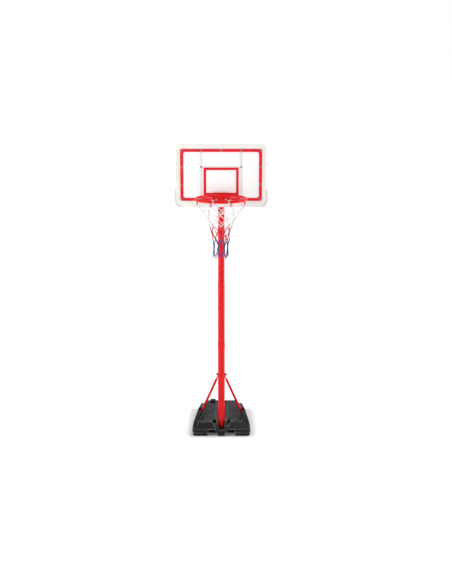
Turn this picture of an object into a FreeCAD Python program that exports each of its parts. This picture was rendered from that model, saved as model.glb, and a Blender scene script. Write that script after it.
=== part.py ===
import FreeCAD, Part
import math
import os

# Portable basketball hoop, in millimetres. The origin is on the floor under the pole axis.
# +X is to the right of a player who faces the board, -Y points from the board to that player, +Z is up.

V = FreeCAD.Vector
ORIGIN = V(0, 0, 0)
X = V(1, 0, 0)
Y = V(0, 1, 0)
Z = V(0, 0, 1)

# Overall sizes
total_height = 1950.0

# Clearances
sliding_gap = 0.3
thread_gap = 0.05
bolt_gap = 0.3
seat_gap = 0.2
bell_gap = 0.1
overrun = 1.0

# Base tank
base_width = 390.0
base_depth = 560.0
base_height = 120.0
base_front_y = -75.0
base_wall = 4.0
shoulder_inset = 41.0
shoulder_length = 155.0
rear_inset = 93.0
front_straight = 36.0
corner_radius = 24.0
draft = 12.0
foot_inset = 5.0
foot_bevel_height = 7.0
parting_height = 21.0
parting_step = 2.5
front_face_height = 48.0
front_roll_depth = 8.0
front_roll_height = 6.0
deck_drop = 34.0
rear_deck_drop = 42.0
rear_deck_setback = 20.0
rear_lip = 12.0
deck_front_y = -20.0
rail_width = 30.0
rail_bevel = 5.0
rail_skirt = 20.0
rail_lean = 4.0
rail_rear_drop = 18.0
rail_setback = 0.5
dip_setback = 46.0
dip_width = 36.0
dip_lean = 7.5
dip_depth = 7.0
seat_floor_height = 40.0
seat_block_height = 72.0
seat_block_chamfer = 5.0
seat_back = 12.0
seat_bottom_width = 40.0
seat_top_width = 112.0
collar_wall = 7.0
collar_front = 18.0
collar_back = 14.0
collar_rise = 12.0
notch_width = 190.0
notch_height = 47.0
notch_depth = 70.0
notch_lean = 9.0
channel_width = 76.0
channel_depth = 9.0
channel_start = 30.0
channel_end = 26.0
groove_width = 6.0
groove_depth = 7.0
groove_setback = 4.0
pocket_room = 20.0
pocket_rim = 4.0
pocket_front_y = -34.0
pocket_back_y = 24.0
pocket_floor = 16.0
ridge_count = 7
ridge_pitch = 42.0
ridge_first_y = 66.0
ridge_slant = 24.0
ridge_width = 7.0
ridge_height = 3.5
ridge_inner_x = 50.0
ridge_inset = 19.0

# Filler neck and cap
filler_x = -62.0
filler_setback = 47.0
neck_outer_radius = 17.0
neck_wall = 3.0
neck_height = 7.0
cap_wall = 2.5
cap_height = 10.0
cap_lift = 1.5
cap_notch_count = 18
cap_notch_radius = 1.1
cap_grip_width = 5.0
cap_grip_height = 4.0

# Pole tubes
pole_diameter = 46.0
pole_wall = 1.0
lower_pole_top = 585.0
middle_pole_top = 1040.0
bell_length = 50.0
bell_wall = 1.2
bell_neck = 4.0
bell_insert = 48.0
overlap_raised = 85.0
plug_flange = 2.5
plug_wall = 2.5
plug_length = 18.0
pole_cap_lip = 3.0
pole_cap_wall = 2.0
pole_cap_length = 14.0

# Struts
strut_diameter = 16.0
strut_wall = 1.5
strut_plate_width = 20.0
strut_plate_thickness = 3.0
strut_top_plate = 18.0
strut_foot_plate = 14.0
strut_squeeze = 34.0
strut_bolt_height = 410.0
strut_foot_inset = 48.0
strut_foot_y = 150.0
strut_ledge_drop = 23.0
ledge_inside = 20.0
ledge_outside = 13.0
ledge_front = 36.0
ledge_back = 16.0
foot_screw_diameter = 6.0
foot_screw_head = 10.0
foot_screw_length = 22.0

# Fasteners
main_bolt_diameter = 8.0
main_bolt_head = 13.0
main_bolt_head_height = 5.3
main_nut_height = 6.5
bolt_end = 3.0
washer_diameter = 16.0
washer_thickness = 1.6
board_screw_diameter = 4.0
board_screw_head = 9.0
board_washer_diameter = 13.0
board_washer_thickness = 1.0
board_nut_width = 7.0
board_nut_height = 3.2
ring_bolt_diameter = 5.0
ring_bolt_head = 10.0
ring_nut_width = 8.0
ring_nut_height = 3.6
seat_bolt_height = 84.0

# Board, with heights above its lower edge
board_width = 600.0
board_height = 400.0
guard_width = 9.0
guard_slot = 1.5
guard_height = 110.0
guard_corner = 34.0
guard_lip = 16.0
guard_screw_inset = 8.0
guard_screw_rises = (98.0, 62.0)
board_back_y = -60.0
frame_depth = 26.0
frame_wall = 3.0
frame_bar = 46.0
frame_corner = 22.0
frame_lower_corner = 52.0
web_thickness = 2.5
upright_web_count = 7
level_web_count = 5
boss_web_radius = 6.0
rib_width = 20.0
rib_x = 127.0
cross_rib_rise = 256.0
cross_rib_width = 16.0
mount_bar_rise = 30.0
mount_bar_width = 70.0
panel_thickness = 2.0
panel_recess = 0.5
border_side_gap = 29.75
border_top_gap = 29.5
border_bottom_gap = 40.5
border_bar = 18.7
border_thickness = 4.0
border_corner = 9.0
border_inner_corner = 14.0
border_roll = 1.5
border_screw_drop = 60.0
target_width = 224.0
target_height = 178.0
target_bar = 16.5
target_rise = 75.0
target_thickness = 1.2
target_corner = 5.0

# Ring and net
ring_rise = 79.0
ring_bore = 300.0
ring_tube = 18.0
ring_tube_wall = 1.4
ring_reach = 32.0
ring_plate_hook_gap = 5.0
ring_plate_thickness = 3.0
ring_plate_above = 14.0
ring_plate_below = 51.0
ring_plate_corner = 8.0
ring_shelf_grip = 4.0
shelf_slot_half = 18.0
gusset_rise = 12.0
gusset_foot = 8.0
gusset_setback = 6.0
ring_bolt_setout = 5.6
rail_rod_diameter = 8.0
rail_rod_inset = 10.0
hook_count = 8
hook_wire = 4.5
hook_span = 11.0
hook_drop = 19.0
hook_weld = 1.0
net_length = 342.0
net_wall = 1.4
net_neck = 44.0
net_flare = 2.0

# Height knob
knob_drop = 32.0
knob_radius = 20.0
knob_depth = 18.0
knob_lobes = 6
knob_chamfer = 2.0
knob_stud_hold = 14.0
boss_radius = 9.0
boss_length = 11.0
boss_knob_gap = 1.5

# Pole brackets behind the board
bracket_sheet = 2.5
bracket_height = 36.0
bracket_reach = 14.0
bracket_plate_width = 130.0
bracket_screw_x = 52.0
bracket_screw_length = 11.5

# Worked out from the sizes above
pole_radius = 0.5 * pole_diameter
pole_bore = pole_radius - pole_wall
upper_radius = pole_bore - sliding_gap
upper_bottom = middle_pole_top - overlap_raised
collar_half = pole_radius + collar_wall
knob_height = middle_pole_top - knob_drop
base_back_y = base_front_y + base_depth
shoulder_y = base_back_y - shoulder_length
filler_y = base_back_y - filler_setback
deck_height = base_height - deck_drop
rear_deck_height = base_height - rear_deck_drop
rail_rear_height = base_height - rail_rear_drop
strut_foot_x = 0.5 * base_width - strut_foot_inset
strut_ledge_height = base_height - strut_ledge_drop
board_top = total_height
board_bottom = total_height - board_height
cross_rib_height = board_bottom + cross_rib_rise
mount_bar_low = board_bottom + mount_bar_rise
mount_bar_high = mount_bar_low + mount_bar_width
upper_bracket_z = cross_rib_height
lower_bracket_z = 0.5 * (mount_bar_low + mount_bar_high)
upper_top = upper_bracket_z + bracket_height
bracket_outer_x = upper_radius + seat_gap + bracket_sheet
ring_bolt_x = bracket_outer_x + ring_bolt_setout
frame_front_y = board_back_y - frame_depth
frame_width = board_width - 2.0 * (guard_width + guard_slot)
border_width = frame_width - 2.0 * border_side_gap
border_top = board_top - border_top_gap
border_bottom = board_bottom + border_bottom_gap
border_centre_x = 0.5 * (border_width - border_bar)
panel_front_y = frame_front_y + panel_recess
panel_back_y = panel_front_y + panel_thickness
border_front_y = panel_front_y - border_thickness
ring_height = board_bottom + ring_rise
ring_radius = 0.5 * (ring_bore + ring_tube)
rear_hook_x = ring_radius * math.sin(math.pi / hook_count)
ring_plate_width = 2.0 * (rear_hook_x - ring_plate_hook_gap)
ring_plate_front_y = border_front_y - ring_plate_thickness
ring_y = ring_plate_front_y - ring_reach - ring_radius - 0.5 * ring_tube
hook_top = ring_height - 0.5 * ring_tube + hook_weld
hook_bottom = hook_top - hook_drop - 0.5 * hook_wire
strut_outer_x = pole_radius + seat_gap + strut_plate_thickness


# Simple shapes

def block(x0, x1, y0, y1, z0, z1):
    return Part.makeBox(x1 - x0, y1 - y0, z1 - z0, V(x0, y0, z0))


def rod(radius, start, axis, length):
    return Part.makeCylinder(radius, length, start, axis)


def tube(outer, inner, start, axis, length):
    return rod(outer, start, axis, length).cut(rod(inner, start, axis, length))


def fuse(shapes):
    return shapes[0].multiFuse(shapes[1:]).removeSplitter()


def edges_along(shape, axis):
    """The shape's straight edges that run along an axis."""
    return [e for e in shape.Edges
            if isinstance(e.Curve, Part.Line) and abs(e.tangentAt(e.FirstParameter).dot(axis)) > 0.99]


def is_at(place, level):
    return abs(place - level) < 0.01


def mirrored(shape):
    return shape.mirror(ORIGIN, X)


def prism(points, sweep):
    """A straight prism on a closed outline of points."""
    return Part.Face(Part.makePolygon(points + points[:1])).extrude(sweep)


def side_prism(outline, x0, x1):
    """A prism along X on an outline of (y, z) pairs."""
    return prism([V(x0, y, z) for y, z in outline], V(x1 - x0, 0, 0))


def front_prism(outline, y0, y1):
    """A prism along Y on an outline of (x, z) pairs."""
    return prism([V(x, y0, z) for x, z in outline], V(0, y1 - y0, 0))


def rounded_plate(width, z0, z1, top_radius, bottom_radius, y0, y1):
    """An upright plate, centred on X = 0, with rounded corners."""
    plate = block(-0.5 * width, 0.5 * width, y0, y1, z0, z1)
    for radius, level in ((top_radius, z1), (bottom_radius, z0)):
        plate = plate.makeFillet(radius, [e for e in edges_along(plate, Y) if is_at(e.CenterOfMass.z, level)])
    return plate


def hex_prism(across_flats, start, axis, length):
    """A hexagonal head or nut blank on an axis along X, Y or Z."""
    corner = across_flats / math.sqrt(3.0)
    side = Z if abs(axis.z) < 0.5 else X
    other = axis.cross(side)
    angles = [math.radians(60.0 * k) for k in range(6)]
    points = [start + side * (corner * math.cos(a)) + other * (corner * math.sin(a)) for a in angles]
    blank = prism(points, axis * length)
    dome = rod(0.97 * corner, start, axis, length)
    return blank.common(dome)


def hex_bolt(diameter, across_flats, head_height, seat, axis, length):
    """A hex bolt: the head lies behind its seat, and the shank runs from the seat along the axis."""
    head = hex_prism(across_flats, seat - axis * head_height, axis, head_height)
    return head.fuse(rod(0.5 * diameter, seat, axis, length)).removeSplitter()


def hex_nut(diameter, across_flats, seat, axis, height):
    """A nut on a shank of that diameter, standing on its seat."""
    blank = hex_prism(across_flats, seat, axis, height)
    return blank.cut(rod(0.5 * diameter, seat, axis, height))


def washer(bore, seat, axis, outer=washer_diameter, thickness=washer_thickness):
    return tube(0.5 * outer, 0.5 * bore, seat, axis, thickness)


def pan_screw(diameter, head, seat, axis, length):
    """A pan-head screw with a cross slot: the head lies behind its seat."""
    head_height = 0.34 * head
    radius = 0.5 * head
    top = rod(radius, seat - axis * head_height, axis, head_height)
    rim = [e for e in top.Edges if e.CenterOfMass.sub(seat - axis * head_height).Length < 0.01]
    top = top.makeFillet(0.7 * head_height, rim)
    slot_depth = 0.5 * head_height
    slot_width = 0.16 * head
    side = Z if abs(axis.z) < 0.5 else X
    for direction in (side, axis.cross(side)):
        across = axis.cross(direction)
        corner = seat - axis * head_height - direction * (0.3 * head) - across * (0.5 * slot_width)
        points = [corner,
                  corner + direction * (0.6 * head),
                  corner + direction * (0.6 * head) + across * slot_width,
                  corner + across * slot_width]
        top = top.cut(prism(points, axis * slot_depth))
    return top.fuse(rod(0.5 * diameter, seat, axis, length)).removeSplitter()


# Base tank

def base_outline(inset):
    """The tank's plan outline, counter-clockwise, moved in by inset."""
    front = base_front_y + inset
    back = base_back_y - inset
    right = [V(0.5 * base_width - inset, front, 0),
             V(0.5 * base_width - inset, front + front_straight, 0),
             V(0.5 * base_width - shoulder_inset - inset, shoulder_y, 0),
             V(0.5 * base_width - rear_inset - 0.6 * inset, back, 0)]
    left = [V(-p.x, p.y, 0) for p in reversed(right)]
    return right + left


def rounded_wire(points, radius, height):
    """A closed wire through the outline's sides, with an arc at each corner."""
    count = len(points)
    edges = []
    previous_end = None
    first_start = None
    for k in range(count):
        corner = points[k]
        to_last = (points[k - 1] - corner).normalize()
        to_next = (points[(k + 1) % count] - corner).normalize()
        half = 0.5 * to_last.getAngle(to_next)
        reach = radius / math.tan(half)
        start = corner + to_last * reach
        end = corner + to_next * reach
        inward = (to_last + to_next).normalize()
        middle = corner + inward * (radius / math.sin(half) - radius)
        if previous_end is not None:
            edges.append(Part.LineSegment(previous_end, start).toShape())
        else:
            first_start = start
        edges.append(Part.Arc(start, middle, end).toShape())
        previous_end = end
    edges.append(Part.LineSegment(previous_end, first_start).toShape())
    wire = Part.Wire(edges)
    wire.translate(V(0, 0, height))
    return wire


def tank_envelope(extra_inset):
    """The drafted outside of the tank at full height, with its bevelled foot and parting step."""
    steps = [(foot_inset, 0.0),
             (parting_step, foot_bevel_height),
             (parting_step, parting_height),
             (0.0, parting_height + parting_step),
             (0.0, front_face_height),
             (draft, base_height)]
    sections = [rounded_wire(base_outline(inset + extra_inset), corner_radius - 0.5 * extra_inset, height)
                for inset, height in steps]
    return Part.makeLoft(sections, True, True)


def deck_profile(drop):
    """The side outline of the tank between its rails, lowered by drop."""
    return [(base_front_y - overrun, 0.0),
            (base_front_y - overrun, front_face_height - drop),
            (base_front_y + front_roll_depth, front_face_height + front_roll_height - drop),
            (deck_front_y, deck_height - drop),
            (base_back_y - rear_deck_setback, rear_deck_height - drop),
            (base_back_y + overrun, rear_deck_height - rear_lip - drop),
            (base_back_y + overrun, 0.0)]


def side_x(y, height):
    """How far the tank's side stands from its middle, at a place and height."""
    straight_end = base_front_y + front_straight
    half = 0.5 * base_width
    if y > straight_end:
        share = (y - straight_end) / (shoulder_y - straight_end)
        half -= share * shoulder_inset
    lean = max(0.0, height - front_face_height) / (base_height - front_face_height)
    return half - lean * draft


def rail_section(y, top):
    """The rail's cross-section at one place: upright sides and a flat top with rounded corners."""
    low = front_face_height - rail_skirt
    outer_low = side_x(y, low) - rail_setback
    outer_top = side_x(y, top) - rail_setback
    inner_top = outer_top - rail_width
    inner_low = inner_top - rail_lean
    r = rail_bevel
    bow = r * (1.0 - math.sqrt(0.5))
    outer_arc = Part.Arc(V(outer_top, y, top - r), V(outer_top - bow, y, top - bow), V(outer_top - r, y, top))
    inner_arc = Part.Arc(V(inner_top + r, y, top), V(inner_top + bow, y, top - bow), V(inner_top, y, top - r))
    lines = [Part.LineSegment(V(inner_low, y, low), V(outer_low, y, low)),
             Part.LineSegment(V(outer_low, y, low), V(outer_top, y, top - r)),
             outer_arc,
             Part.LineSegment(V(outer_top - r, y, top), V(inner_top + r, y, top)),
             inner_arc,
             Part.LineSegment(V(inner_top, y, top - r), V(inner_low, y, low))]
    return Part.Wire([line.toShape() for line in lines])


def rail():
    """The right-hand rail, which rises from the front corner and falls again to the shoulder."""
    stations = [(base_front_y, front_face_height + 1.0),
                (base_front_y + 14.0, front_face_height + 10.0),
                (deck_front_y, base_height - 27.0),
                (deck_front_y + 60.0, base_height - 13.0),
                (strut_foot_y - 30.0, base_height),
                (strut_foot_y + 25.0, base_height),
                (shoulder_y, rail_rear_height),
                (shoulder_y + 20.0, rear_deck_height - 10.0)]
    loft = Part.makeLoft([rail_section(y, top) for y, top in stations], True, True)
    return loft.common(tank_envelope(0.0))


def seat_block():
    """The V-shaped block at the front, which carries the foot of the pole."""
    outline = [(-0.5 * seat_bottom_width, 0.0),
               (0.5 * seat_bottom_width, 0.0),
               (0.5 * seat_top_width, seat_block_height),
               (-0.5 * seat_top_width, seat_block_height)]
    solid = front_prism(outline, base_front_y, pole_radius + seat_back)
    front_edges = [e for e in solid.Edges if is_at(e.BoundBox.YMax, base_front_y) and e.BoundBox.ZMax > 1.0]
    return solid.makeChamfer(seat_block_chamfer, front_edges)


def seat_collar():
    """The thick collar behind and beside the pole, which its cross bolt goes through."""
    collar = block(-collar_half, collar_half, -collar_front, pole_radius + collar_back,
                   seat_floor_height, deck_height + collar_rise)
    return collar.makeFillet(5.0, edges_along(collar, Z))


def ridge(x0, y0, x1, y1, height):
    """A raised half-round bar on the deck from one point to another."""
    start = V(x0, y0, height)
    along = V(x1 - x0, y1 - y0, 0)
    bar = rod(0.5 * ridge_width, start, along.normalize(), math.hypot(x1 - x0, y1 - y0))
    ends = [Part.makeSphere(0.5 * ridge_width, V(x, y, height)) for x, y in ((x0, y0), (x1, y1))]
    return fuse([bar] + ends)


def deck_height_at(y):
    """The height of the deck between the rails at a place along the tank."""
    share = (y - deck_front_y) / (base_back_y - rear_deck_setback - deck_front_y)
    return deck_height + share * (rear_deck_height - deck_height)


def deck_ridges():
    """The slanted and straight ridges on the right half of the deck."""
    bars = []
    for k in range(ridge_count):
        y = ridge_first_y + k * ridge_pitch
        slant = max(0.0, ridge_slant * (1.0 - k / 3.0))
        shrink = 0.05 * max(0.0, y - strut_foot_y)
        outer = strut_foot_x - ridge_inset - shrink
        height = deck_height_at(y) - 0.5 * ridge_width + ridge_height
        bars.append(ridge(ridge_inner_x, y - 0.3 * slant, outer, y + 0.7 * slant, height))
    return bars


def front_notch():
    """The opening under the front edge, between the right-hand foot and the seat block."""
    half = 0.5 * notch_width
    lean = 0.5 * (seat_top_width - seat_bottom_width) * notch_height / seat_block_height
    inner = 0.5 * seat_bottom_width
    outline = [(inner, -overrun),
               (half, -overrun),
               (half - notch_lean, notch_height),
               (inner + lean, notch_height)]
    return front_prism(outline, base_front_y - overrun, base_front_y + notch_depth)


def bolt_pocket():
    """The pocket beside the collar, for the head or nut of the pole's cross bolt."""
    outer = max(0.5 * seat_top_width, collar_half + pocket_room) + pocket_rim
    pocket = block(collar_half, outer, pocket_front_y, pocket_back_y,
                   seat_bolt_height - pocket_floor, base_height)
    return pocket.makeFillet(4.0, edges_along(pocket, Z))


def strut_ledge():
    """The flat ledge in the right-hand rail that the strut's foot is screwed to."""
    ledge = block(strut_foot_x - ledge_inside, strut_foot_x + ledge_outside,
                  strut_foot_y - ledge_front, strut_foot_y + ledge_back,
                  strut_ledge_height, base_height + overrun)
    return ledge.makeFillet(5.0, edges_along(ledge, Z))


def rail_gap():
    """The dip across the rail behind the strut's foot."""
    y = strut_foot_y + dip_setback
    half = 0.5 * dip_width
    outline = [(y - half, base_height + overrun),
               (y - half + dip_lean, rail_rear_height - dip_depth),
               (y + half - dip_lean, rail_rear_height - dip_depth),
               (y + half, base_height + overrun)]
    return side_prism(outline, strut_foot_x - 0.5 * base_width, base_width)


def screw_hole(x, y, top, depth):
    return rod(0.5 * foot_screw_diameter, V(x, y, top - depth), Z, depth + overrun)


def cavity():
    """The water space: the two sides of the tank behind its front, joined under the channel."""
    side = side_prism(deck_profile(base_wall), -base_width, base_width)
    inside = tank_envelope(base_wall).common(side)
    front = block(-base_width, base_width, base_front_y - overrun, base_front_y + notch_depth + base_wall,
                  -overrun, base_height)
    floor = block(-base_width, base_width, base_front_y - overrun, base_back_y + overrun,
                  -overrun, base_wall)
    under_channel = block(-0.5 * channel_width - base_wall, 0.5 * channel_width + base_wall,
                          base_front_y, base_back_y,
                          rear_deck_height - channel_depth - 2.0 * base_wall, base_height)
    seat_half = max(0.5 * seat_top_width, collar_half + pocket_room) + pocket_rim + base_wall + 1.0
    seat_end = max(pole_radius + seat_back + 2.0 * base_wall, pocket_back_y + base_wall + 1.0)
    seat = block(-seat_half, seat_half, base_front_y, max(seat_end, pole_radius + collar_back + base_wall),
                 -overrun, base_height)
    return inside.cut(front.multiFuse([floor, under_channel, seat]))


def filler_neck_z():
    return deck_height_at(filler_y) - 1.0


def base_tank():
    deck = tank_envelope(0.0).common(side_prism(deck_profile(0.0), -base_width, base_width))
    right_rail = rail()
    neck = rod(neck_outer_radius, V(filler_x, filler_y, filler_neck_z()), Z, neck_height + overrun)
    ridges = deck_ridges()
    body = deck.multiFuse([right_rail, mirrored(right_rail), seat_block(), neck])
    channel = block(-0.5 * channel_width, 0.5 * channel_width,
                    pole_radius + channel_start, base_back_y - channel_end,
                    rear_deck_height - channel_depth, base_height)
    groove_y = deck_front_y - groove_setback
    groove = block(0.5 * seat_top_width + 6.0, strut_foot_x - 7.0, groove_y, groove_y + groove_width,
                   deck_height - groove_depth, base_height)
    cuts = [channel]
    for tool in (front_notch(), bolt_pocket(), strut_ledge(), rail_gap(), groove):
        cuts += [tool, mirrored(tool)]
    body = body.cut(cuts[0].multiFuse(cuts[1:]))
    body = body.multiFuse([seat_collar()] + ridges + [mirrored(r) for r in ridges])
    pole_pocket = rod(pole_radius + bolt_gap, V(0, 0, seat_floor_height), Z, base_height)
    front_slot = block(-pole_radius, pole_radius, base_front_y - overrun, 0.0,
                       seat_floor_height + base_wall, base_height)
    cross_hole = rod(0.5 * main_bolt_diameter + bolt_gap, V(-collar_half - overrun, 0, seat_bolt_height), X,
                     2.0 * (collar_half + overrun))
    neck_bore = rod(neck_outer_radius - neck_wall, V(filler_x, filler_y, 0.5 * deck_height), Z, base_height)
    holes = [front_slot, cross_hole, neck_bore, cavity()]
    for sign in (-1.0, 1.0):
        holes.append(screw_hole(sign * strut_foot_x, strut_foot_y, strut_ledge_height, foot_screw_length))
    return body.cut(pole_pocket.multiFuse(holes))


def filler_cap():
    """The screw cap, with a grip bar across its top, over the filler neck."""
    base_z = filler_neck_z() + cap_lift
    outer = neck_outer_radius + sliding_gap + cap_wall
    skirt = tube(outer, neck_outer_radius + sliding_gap, V(filler_x, filler_y, base_z), Z, cap_height)
    top_z = base_z + cap_height
    lid = rod(outer, V(filler_x, filler_y, top_z), Z, cap_wall)
    grip_half = outer - 4.0
    grip = block(filler_x - grip_half, filler_x + grip_half,
                 filler_y - 0.5 * cap_grip_width, filler_y + 0.5 * cap_grip_width,
                 top_z + cap_wall, top_z + cap_wall + cap_grip_height)
    notches = []
    for k in range(cap_notch_count):
        angle = 2.0 * math.pi * k / cap_notch_count
        centre = V(filler_x + outer * math.cos(angle), filler_y + outer * math.sin(angle), base_z - overrun)
        notches.append(rod(cap_notch_radius, centre, Z, cap_height - overrun))
    cap = skirt.cut(notches[0].multiFuse(notches[1:]))
    return fuse([cap, lid, grip])


def cap_seal():
    """The flat ring between the neck's rim and the cap's lid."""
    rim = filler_neck_z() + neck_height + overrun
    lid = filler_neck_z() + cap_lift + cap_height
    return tube(neck_outer_radius - 0.5, neck_outer_radius - neck_wall,
                V(filler_x, filler_y, rim + seat_gap), Z, lid - rim - seat_gap)


# Pole

def cross_drill(height, diameter):
    """A hole right through the pole along X."""
    return rod(0.5 * diameter + bolt_gap, V(-pole_diameter, 0, height), X, 2.0 * pole_diameter)


def pole_foot_plug():
    """The plastic plug in the open foot of the lower pole."""
    flange = rod(pole_radius, V(0, 0, seat_floor_height), Z, plug_flange)
    stem = tube(pole_bore, pole_bore - plug_wall, V(0, 0, seat_floor_height + plug_flange), Z, plug_length)
    return flange.fuse(stem).removeSplitter()


def lower_pole():
    start = seat_floor_height + plug_flange
    pipe = tube(pole_radius, pole_bore, V(0, 0, start), Z, lower_pole_top + bell_insert - start)
    return pipe.cut(cross_drill(seat_bolt_height, main_bolt_diameter).fuse(
        cross_drill(strut_bolt_height, main_bolt_diameter)))


def middle_pole():
    """The middle pipe. Its belled foot slips over the lower pole, and the upper pole slides in its top."""
    bell_bore = pole_radius + bell_gap
    bell_top = lower_pole_top + bell_length
    bell = tube(bell_bore + bell_wall, bell_bore, V(0, 0, lower_pole_top), Z, bell_length)
    pipe_start = bell_top + bell_neck
    neck = Part.makeCone(bell_bore + bell_wall, pole_radius, bell_neck, V(0, 0, bell_top), Z)
    pipe = rod(pole_radius, V(0, 0, pipe_start), Z, middle_pole_top - pipe_start)
    upper = neck.fuse(pipe).cut(rod(pole_bore, V(0, 0, bell_top - overrun), Z, middle_pole_top))
    clamp_hole = rod(0.5 * main_bolt_diameter + bolt_gap, V(0, 0, knob_height), Y, pole_diameter)
    joint_hole = rod(0.5 * board_screw_diameter, V(0, 0, lower_pole_top + 0.5 * bell_length), Y, pole_diameter)
    return fuse([bell, upper]).cut(clamp_hole).cut(joint_hole)


def pole_joint_screw():
    """The self-tapping screw that pins the bell to the lower pole, at the back."""
    seat = V(0, pole_radius + bell_gap + bell_wall, lower_pole_top + 0.5 * bell_length)
    return pan_screw(board_screw_diameter, board_screw_head, seat, V(0, -1, 0), bell_wall + bell_gap)


def upper_pole():
    pipe = tube(upper_radius, upper_radius - pole_wall, V(0, 0, upper_bottom), Z, upper_top - upper_bottom)
    holes = [cross_drill(z, main_bolt_diameter) for z in (lower_bracket_z, upper_bracket_z)]
    return pipe.cut(holes[0].fuse(holes[1]))


def pole_top_cap():
    """The plastic cap that closes the top of the upper pole."""
    lid = rod(upper_radius, V(0, 0, upper_top), Z, pole_cap_lip)
    rim = [e for e in lid.Edges if e.CenterOfMass.z > upper_top + pole_cap_lip - 0.1]
    lid = lid.makeFillet(2.0, rim)
    bore = upper_radius - pole_wall
    stem = tube(bore, bore - pole_cap_wall, V(0, 0, upper_top - pole_cap_length), Z, pole_cap_length)
    return lid.fuse(stem).removeSplitter()


def seat_bolt():
    return hex_bolt(main_bolt_diameter, main_bolt_head, main_bolt_head_height,
                    V(-collar_half, 0, seat_bolt_height), X, 2.0 * collar_half + main_nut_height + bolt_end)


def seat_nut():
    return hex_nut(main_bolt_diameter, main_bolt_head, V(collar_half, 0, seat_bolt_height), X,
                   main_nut_height)


# Struts

def ellipse_wire(centre, wide, narrow, half_wide, half_narrow):
    """A closed ellipse through a centre, with its long half-axis along wide."""
    ellipse = Part.Ellipse(centre + wide * half_wide, centre + narrow * half_narrow, centre)
    return Part.Wire([ellipse.toShape()])


def strut():
    """The right-hand strut: a tube with a flattened, drilled plate at each end."""
    plate_x = strut_outer_x - 0.5 * strut_plate_thickness
    top = V(plate_x, 0, strut_bolt_height)
    foot = V(strut_foot_x, strut_foot_y, strut_ledge_height + 0.5 * strut_plate_thickness)
    half_width = 0.5 * strut_plate_width
    half_thick = 0.5 * strut_plate_thickness
    radius = 0.5 * strut_diameter
    top_run = V(0, foot.y, foot.z - top.z).normalize()
    foot_run = V(top.x - foot.x, top.y - foot.y, 0).normalize()
    top_bend = top + top_run * strut_top_plate
    foot_bend = foot + foot_run * strut_foot_plate
    line = (foot_bend - top_bend).normalize()
    tube_start = top_bend + line * strut_squeeze
    tube_end = foot_bend - line * strut_squeeze
    across_top = X.cross(line).normalize()
    across_foot = Z.cross(line).normalize()

    def end_plate(eye, bend, run, normal):
        side = normal.cross(run).normalize()
        lift = normal * half_thick
        points = [eye - lift + side * half_width,
                  bend - lift + side * half_width,
                  bend - lift - side * half_width,
                  eye - lift - side * half_width]
        plate = prism(points, normal * strut_plate_thickness)
        return plate.fuse(rod(half_width, eye - lift, normal, strut_plate_thickness))

    def squeezed(bend, centre, across):
        flat = ellipse_wire(bend, across, line.cross(across), half_width, 1.25 * half_thick)
        round_end = ellipse_wire(centre, across, line.cross(across), 0.98 * radius, 0.96 * radius)
        return Part.makeLoft([flat, round_end], True, False)

    pipe = rod(radius, tube_start, line, (tube_end - tube_start).Length)
    solid = fuse([pipe,
                  squeezed(top_bend, tube_start, across_top),
                  squeezed(foot_bend, tube_end, across_foot),
                  end_plate(top, top_bend, top_run, X),
                  end_plate(foot, foot_bend, foot_run, Z)])
    bore = rod(radius - strut_wall, tube_start, line, (tube_end - tube_start).Length)
    eye_hole = rod(0.5 * main_bolt_diameter + bolt_gap, top - X * strut_plate_width, X,
                   2.0 * strut_plate_width)
    foot_hole = rod(0.5 * foot_screw_diameter + bolt_gap, foot - Z * strut_plate_width, Z,
                    2.0 * strut_plate_width)
    return solid.cut(bore.multiFuse([eye_hole, foot_hole]))


def strut_bolt():
    half = strut_outer_x + washer_thickness
    return hex_bolt(main_bolt_diameter, main_bolt_head, main_bolt_head_height,
                    V(-half, 0, strut_bolt_height), X, 2.0 * half + main_nut_height + bolt_end)


def strut_nut():
    seat = V(strut_outer_x + washer_thickness, 0, strut_bolt_height)
    return hex_nut(main_bolt_diameter, main_bolt_head, seat, X, main_nut_height)


def strut_washers():
    right = washer(main_bolt_diameter, V(strut_outer_x, 0, strut_bolt_height), X)
    return Part.makeCompound([right, mirrored(right)])


def strut_foot_screws():
    """The two screws that hold the struts' feet down on the rails."""
    seat_z = strut_ledge_height + strut_plate_thickness
    right = hex_bolt(foot_screw_diameter, foot_screw_head, 0.45 * foot_screw_head,
                     V(strut_foot_x, strut_foot_y, seat_z), V(0, 0, -1), foot_screw_length)
    return Part.makeCompound([right, mirrored(right)])


# Height knob, behind the pole

def knob_boss():
    """The threaded boss welded on the back of the middle pole."""
    boss = rod(boss_radius, V(0, 0, knob_height), Y, pole_radius + boss_length)
    boss = boss.cut(rod(pole_radius, V(0, 0, knob_height - pole_radius), Z, pole_diameter))
    return boss.cut(rod(0.5 * main_bolt_diameter + thread_gap, V(0, 0, knob_height), Y, 2.0 * pole_diameter))


def knob_stud():
    """The stud that presses on the upper pole, with its collar in the knob."""
    start = upper_radius + sliding_gap
    end = pole_radius + boss_length + knob_stud_hold
    return rod(0.5 * main_bolt_diameter, V(0, start, knob_height), Y, end - start)


def height_knob():
    """The lobed hand knob on the stud."""
    start = pole_radius + boss_length + boss_knob_gap
    body = rod(0.78 * knob_radius, V(0, start, knob_height), Y, knob_depth)
    lobes = []
    for k in range(knob_lobes):
        angle = 2.0 * math.pi * k / knob_lobes
        reach = 0.68 * knob_radius
        centre = V(reach * math.cos(angle), start, knob_height + reach * math.sin(angle))
        lobes.append(rod(0.32 * knob_radius, centre, Y, knob_depth))
    star = body.multiFuse(lobes).removeSplitter()
    rear = [e for e in star.Edges if is_at(e.BoundBox.YMin, start + knob_depth)]
    star = star.makeChamfer(knob_chamfer, rear)
    hub = rod(0.5 * knob_radius, V(0, start - 1.0, knob_height), Y, 2.0)
    bore = rod(0.5 * main_bolt_diameter, V(0, 0, knob_height), Y, pole_radius + boss_length + knob_stud_hold)
    return star.fuse(hub).cut(bore).removeSplitter()


# Board

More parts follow.
